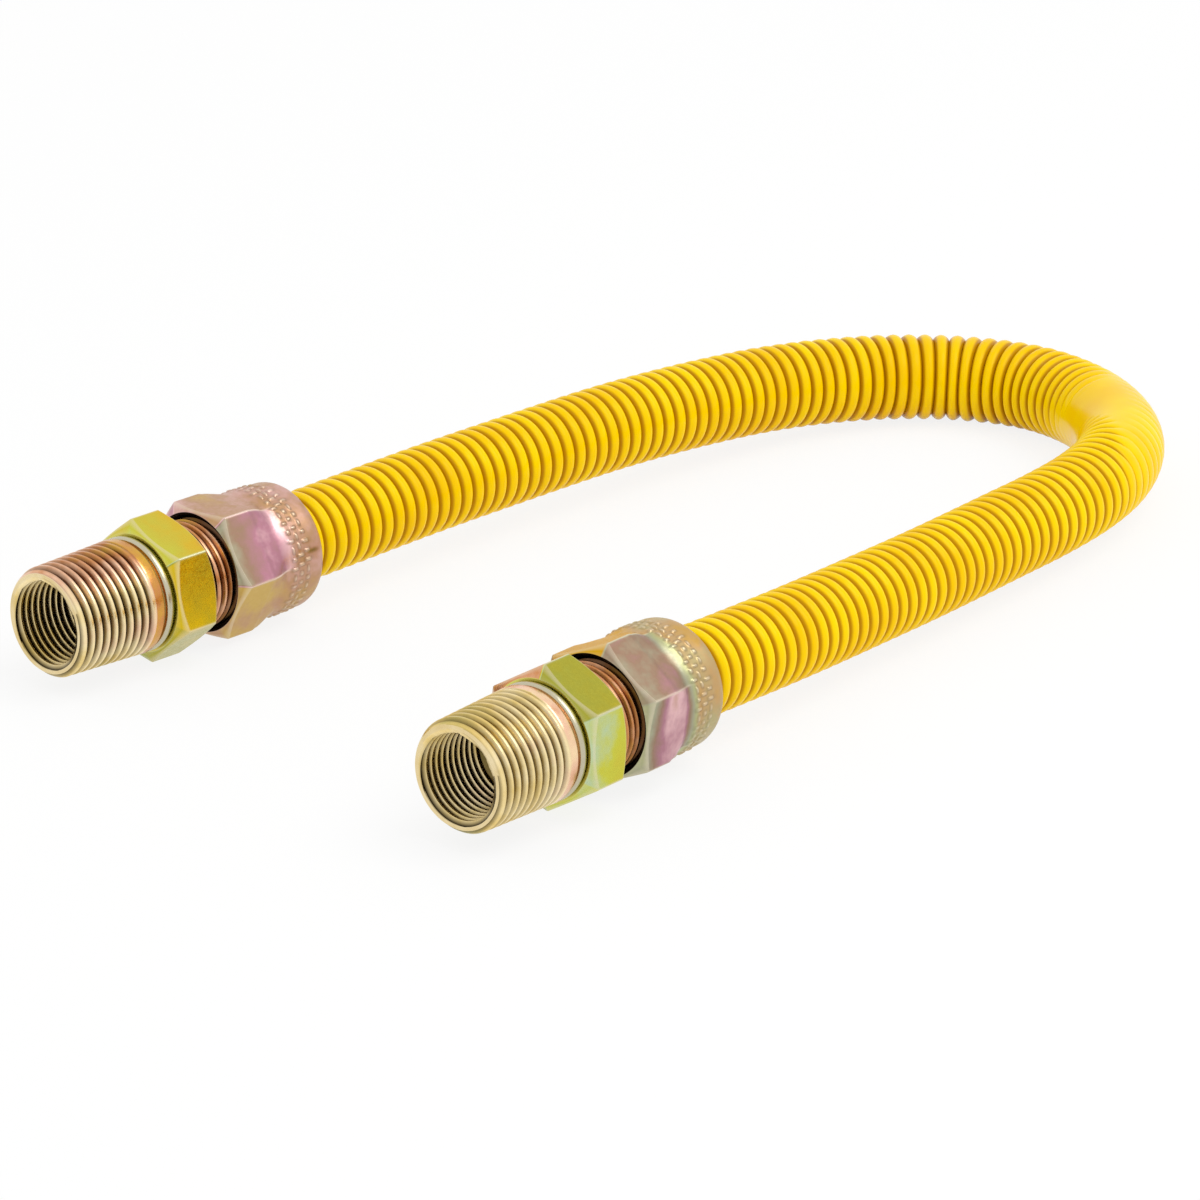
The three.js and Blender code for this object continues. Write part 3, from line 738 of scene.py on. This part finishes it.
def thread_rows(start, stop, pitch, crest, depth, taper, fades, angles):
    """Stations, radii and depth shares of a right-hand thread. Each row of points climbs one pitch
    in a turn and is held at the thread's ends. The depth fades over the two lengths in fades."""
    turns = math.ceil((stop - start) / pitch) + 1
    shares, depths = np.array(THREAD_FORM).T
    steps = np.append((np.arange(turns)[:, None] + shares).reshape(-1), turns)[:, None]
    form = np.append(np.tile(depths, turns), 0)[:, None]
    lead = (angles - angles[0])[None] / (2 * math.pi) - 1
    stations = np.clip(start + (steps + lead) * pitch, start, stop)
    cut = form * np.minimum(1, np.minimum((stations - start) / fades[0], (stop - stations) / fades[1]))
    return stations, crest + taper * (stations - start) - depth * cut, cut


def pipe_thread(end, angles):
    """The male thread, cut back by the chamfer round the mouth."""
    stations, radii, cut = thread_rows(0, PIPE_THREAD_LENGTH - PIPE_THREAD_RUNOUT, PIPE_THREAD_PITCH,
                                       PIPE_CREST_RADIUS, PIPE_THREAD_DEPTH, PIPE_TAPER,
                                       PIPE_THREAD_FADES, angles)
    chamfer = MOUTH_RADIUS + stations * (PIPE_CREST_RADIUS - MOUTH_RADIUS) / MOUTH_CHAMFER
    side, top, under, _ = THREAD_FILMS_AND_LIGHT[end]
    # The top and the underside differ from the sides as painted reflection and shade
    height = np.sin(angles)
    film = side + np.where(height > 0, top - side, under - side) * np.abs(height) ** THREAD_FILM_POWER
    film = film + THREAD_FILM_RISE * (stations / PIPE_THREAD_LENGTH) ** THREAD_FILM_POWER
    # Roots darkened by oil and painted shade
    return fitting_surface(end, stations, np.minimum(radii, chamfer), angles, film,
                           THREAD_OIL_AND_SHADE[end] * cut**OIL_AND_SHADE_REACH)


def tapped_bore(end, angles):
    """The female thread, cut back by the countersink in the mouth."""
    stations, radii, cut = thread_rows(0, BORE_THREAD_END, BORE_PITCH, BORE_CREST_RADIUS,
                                       -BORE_THREAD_DEPTH, -PIPE_TAPER, BORE_THREAD_FADES, angles)
    countersink = BORE_EDGE_RADIUS - COUNTERSINK_SLOPE * stations
    return fitting_surface(end, stations, np.maximum(radii, countersink), angles, BORE_FILM,
                           BORE_OIL_AND_SHADE * cut**OIL_AND_SHADE_REACH)


def run_out(end, angles):
    """The plain band behind the pipe thread, its shoulder and the neck up to the bead."""
    start = PIPE_THREAD_LENGTH - PIPE_THREAD_RUNOUT
    return turned(end, [
        (start, PIPE_CREST_RADIUS + PIPE_TAPER * start),
        (PIPE_THREAD_LENGTH, PIPE_CREST_RADIUS + PIPE_TAPER * PIPE_THREAD_LENGTH),
        (PIPE_THREAD_LENGTH, NECK_RADIUS), (BEAD_STATION, NECK_RADIUS)], angles, THREAD_FILMS_AND_LIGHT[end][3])


def bead(end, angles):
    """The raised bead round the neck, in front of the hexagon."""
    arc = np.linspace(0, math.pi, BEAD_ROWS)[:, None]
    return fitting_surface(end, BEAD_STATION + BEAD_WIDTH * (1 - np.cos(arc)) / 2,
                           NECK_RADIUS + (BEAD_RADIUS - NECK_RADIUS) * np.sqrt(np.sin(arc)), angles,
                           *BEAD_FILM_SHADE_AND_HIGHLIGHT)


def adapter_hex(end, angles):
    """The hexagon, chamfered at both ends."""
    turn = ADAPTER_TURNS[end]
    stations, radii, wear_and_highlight = chamfer_rows(hex_radius(angles, turn))
    stations = np.vstack([stations, ADAPTER_HEX_LENGTH - stations[::-1]])
    past_edge = (np.arange(len(wear_and_highlight)) >= ROWS_BEFORE_EDGE)[:, None]
    wear_and_highlight = np.maximum(wear_and_highlight, corner_wear_and_highlight(angles, turn) * past_edge)
    film = face_films(ADAPTER_FACE_FILMS_AND_REFLECTIONS[end], angles, turn, stations / ADAPTER_HEX_LENGTH)
    return fitting_surface(end, ADAPTER_HEX_STATION + stations, np.vstack([radii, radii[::-1]]),
                           angles, film, 0.0, np.vstack([wear_and_highlight, wear_and_highlight[::-1]]))


def flare_thread(end, angles):
    """The straight thread that the nut screws on."""
    stations, radii, cut = thread_rows(FLARE_THREAD_STATION, CONE_STATION, FLARE_THREAD_PITCH,
                                       FLARE_CREST_RADIUS, FLARE_THREAD_DEPTH, 0, FLARE_THREAD_FADES,
                                       angles)
    in_nut = share_past(stations, IN_NUT_STATION, IN_NUT_FADE)
    # Oil and painted shade in the roots, and painted shade with oil all over inside the nut
    darkening = np.maximum(FLARE_OIL_AND_SHADE * cut**FLARE_OIL_AND_SHADE_REACH, IN_NUT_OIL_AND_SHADE * in_nut)
    return fitting_surface(end, stations, radii, angles, FLARE_FILM, darkening)


def adapter(end):
    """An adapter as one closed mesh, outside from the mouth to the nose and back through the bore."""
    angles = hex_columns(ADAPTER_TURNS[end], ADAPTER_COLUMN_STEP)
    relief_station = ADAPTER_HEX_STATION + ADAPTER_HEX_LENGTH
    nose_station = CONE_STATION + CONE_BASE_RADIUS - CONE_NOSE_RADIUS
    return skinned(f"adapter_{end}_visual", [
        turned(end, [(0, MOUTH_RADIUS), (0, BORE_EDGE_RADIUS)], angles, *MOUTH_FILM_SHADE_AND_HIGHLIGHT),
        pipe_thread(end, angles),
        run_out(end, angles),
        bead(end, angles),
        turned(end, [(BEAD_STATION + BEAD_WIDTH, NECK_RADIUS), (ADAPTER_HEX_STATION, NECK_RADIUS),
                     (ADAPTER_HEX_STATION, HEX_ROOT_RADIUS)], angles, *BEAD_GROOVE_FILM_AND_SHADE),
        turned(end, [(ADAPTER_HEX_STATION, HEX_ROOT_RADIUS),
                     (ADAPTER_HEX_STATION, HEX_FACE_RADIUS)], angles, *HEX_FACE_FILM_AND_HIGHLIGHT),
        adapter_hex(end, angles),
        turned(end, [(relief_station, HEX_FACE_RADIUS), (relief_station, RELIEF_RADIUS),
                     (FLARE_THREAD_STATION, RELIEF_RADIUS),
                     (FLARE_THREAD_STATION, FLARE_CREST_RADIUS)], angles, *RELIEF_FILM_AND_SHADE),
        flare_thread(end, angles),
        turned(end, [(CONE_STATION, FLARE_CREST_RADIUS), (CONE_STATION, CONE_BASE_RADIUS),
                     (nose_station, CONE_NOSE_RADIUS), (nose_station, THROUGH_BORE_RADIUS),
                     (BORE_THREAD_END + DRILL_CONE, THROUGH_BORE_RADIUS),
                     (BORE_THREAD_END, BORE_CREST_RADIUS - PIPE_TAPER * BORE_THREAD_END)],
               angles, *CONE_FILM_AND_SHADE),
        tapped_bore(end, angles),
    ], sharp_angle=35)


# Cut faces under a thicker film: brighter, olive, lime, gold and copper, with black oil and painted
# shade in the roots.
adapter_zinc = plating("yellow_chromated_zinc_on_turned_steel", ADAPTER_TINTS,
                       ADAPTER_OIL_AND_SHADE_COLOUR, roughness=0.24, patch=9 * MM, swing=0.06)
for end in ENDS:
    threaded = adapter(end)
    threaded.data.materials.append(adapter_zinc)
    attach(threaded, f"{end}_adapter_body")
    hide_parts(f"adapter_{end}")

# Floor: white matt paper under the hose. Seen directly it is mostly plain white, with enough of
# its lit surface left to keep the hose's light shadow.
FLOOR_SIZE = 6
PAPER_WHITE = "#FBFBFA"
PLAIN_WHITE_SHARE = 0.85


def seen_directly(material):
    """A socket that is 1 for rays from the camera, a mirror or glass, and 0 for light's own rays."""
    ray = add_node(material, "ShaderNodeLightPath").outputs
    seen = add_node(material, "ShaderNodeMath", {"operation": "MAXIMUM"}, i0=ray["Is Camera Ray"],
                    i1=ray["Is Glossy Ray"])
    return add_node(material, "ShaderNodeMath", {"operation": "MAXIMUM"}, i0=seen.outputs["Value"],
                    i1=ray["Is Transmission Ray"]).outputs["Value"]


bpy.ops.mesh.primitive_plane_add(size=FLOOR_SIZE)
floor = bpy.context.object
floor.name = "floor"
paper = bpy.data.materials.new("white_matt_paper")
paper.use_nodes = True
sheet = paper.node_tree.nodes["Principled BSDF"]
sheet.inputs["Base Color"].default_value = linear(PAPER_WHITE)
sheet.inputs["Roughness"].default_value = 0.9
glow = add_node(paper, "ShaderNodeEmission", Color=(1, 1, 1, 1), Strength=1)
lift = add_node(paper, "ShaderNodeMath", {"operation": "MULTIPLY"}, i0=seen_directly(paper),
                i1=PLAIN_WHITE_SHARE)
mixed = add_node(paper, "ShaderNodeMixShader", i0=lift.outputs["Value"], i1=sheet.outputs["BSDF"],
                 i2=glow.outputs["Emission"])
paper.node_tree.links.new(mixed.outputs["Shader"],
                          paper.node_tree.nodes["Material Output"].inputs["Surface"])
floor.data.materials.append(paper)

# Light: a white studio all round, and one large soft lamp above and a little in front. The studio
# looks fully white, and lights a little less than that.
SKY_LIGHT = 0.8
LAMP_PLACE = (0.25, -0.65, 1.1)
LAMP_SIZE = 0.9
LAMP_WATTS = 6
world = bpy.data.worlds.new("studio")
world.use_nodes = True
sky = world.node_tree.nodes["Background"].inputs
sky["Color"].default_value = (1, 1, 1, 1)
level = add_node(world, "ShaderNodeMapRange", Value=seen_directly(world), To_Min=SKY_LIGHT, To_Max=1)
world.node_tree.links.new(level.outputs["Result"], sky["Strength"])
scene.world = world

lamp = bpy.data.objects.new("key_lamp", bpy.data.lights.new("key_lamp", "AREA"))
scene.collection.objects.link(lamp)
lamp.data.size = LAMP_SIZE
lamp.data.energy = LAMP_WATTS
lamp.location = LAMP_PLACE
lamp.rotation_euler = (-lamp.location).to_track_quat("-Z", "Y").to_euler()
